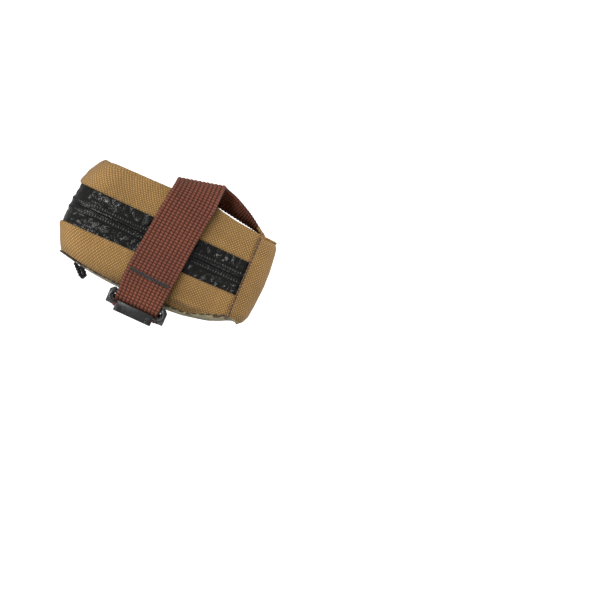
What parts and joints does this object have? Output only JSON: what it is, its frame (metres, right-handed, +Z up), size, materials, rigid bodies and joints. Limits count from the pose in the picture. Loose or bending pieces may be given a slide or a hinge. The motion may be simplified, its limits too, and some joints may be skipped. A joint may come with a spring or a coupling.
{
  "type": "saddle bag",
  "caption": "Small clamshell bag that a webbing strap holds under a bicycle saddle's two rails, with a water-resistant zipper round three sides, a ladder-lock buckle and a camouflage base.",
  "frame": {"origin": "midway between the axes of the two saddle rails, at the middle of the strap", "axes": "+X forward along the rails, +Y to the left, +Z up from the bag to the saddle"},
  "size_m": [0.1125, 0.0848, 0.0782],
  "materials": {
    "tan_nylon": "coyote tan plain-weave nylon, coated inside",
    "board": "thin polyethylene board",
    "lining_fabric": "dark grey lining cloth on thin foam",
    "zip_laminate": "glossy black film laminated on zipper tape",
    "zip_coil": "black nylon coil",
    "strap_webbing": "red-brown nylon webbing",
    "black_webbing": "black nylon webbing",
    "camo_nylon": "blotched olive, tan, brown and black woven nylon",
    "foam": "closed-cell foam sheet",
    "black_thread": "dark bonded nylon thread",
    "elastic": "black woven elastic",
    "buckle_plastic": "black moulded acetal",
    "slider_metal": "black painted zinc",
    "grip_rubber": "black moulded grip"
  },
  "bodies": {
    "upper": {"top_panel": "tan_nylon", "top_stiffener": "board", "upper_side_panel": "tan_nylon", "upper_lining": "lining_fabric", "upper_zip_tape": "zip_laminate", "upper_zip_coil": "zip_coil", "front_panel": "tan_nylon", "zip_end_stops": "zip_coil", "strap_hanger_left": "strap_webbing", "strap_hanger_right": "strap_webbing", "strap_anchor_left": "strap_webbing", "strap_anchor_right": "strap_webbing", "anchor_patch": "black_webbing", "strap_side_left": "strap_webbing", "strap_side_right": "strap_webbing"},
    "lower": {"lower_side_panel": "tan_nylon", "bottom_panel": "camo_nylon", "lower_lining": "lining_fabric", "base_pad": "foam", "lower_zip_tape": "zip_laminate", "lower_zip_coil": "zip_coil", "rear_tab": "black_webbing", "strap_loop": "strap_webbing", "loop_stitching": "black_thread", "strap_weave": "strap_webbing", "strap_under": "strap_webbing", "strap_tail": "strap_webbing", "strap_keeper": "elastic"},
    "zip_slider": {"slider_body": "slider_metal", "slider_staple": "slider_metal"},
    "zip_pull": {"pull_ring": "slider_metal", "pull_grip": "grip_rubber"},
    "buckle": {"buckle_frame": "buckle_plastic"}
  },
  "joints": [
    {"name": "clamshell", "type": "hinge", "parent": "upper", "child": "lower", "pos_m": [0.0525, 0, -0.0298], "axis": [0, -1, 0], "range_deg": [0, 45], "deforming": ["front_panel", "strap_side_left", "strap_side_right"]},
    {"name": "zip_slide", "type": "slide", "parent": "upper", "child": "zip_slider", "axis": [-1, 0, 0], "range_m": [0, 0.069]},
    {"name": "pull_swing", "type": "hinge", "parent": "zip_slider", "child": "zip_pull", "pos_m": [0.03, 0.03905, -0.0298], "axis": [0, 0, 1], "range_deg": [0, 165]},
    {"name": "buckle_tilt", "type": "hinge", "parent": "lower", "child": "buckle", "pos_m": [-0.0039, -0.03875, -0.06295], "axis": [-1, 0, 0], "range_deg": [0, 35], "deforming": ["strap_weave"]}
  ]
}
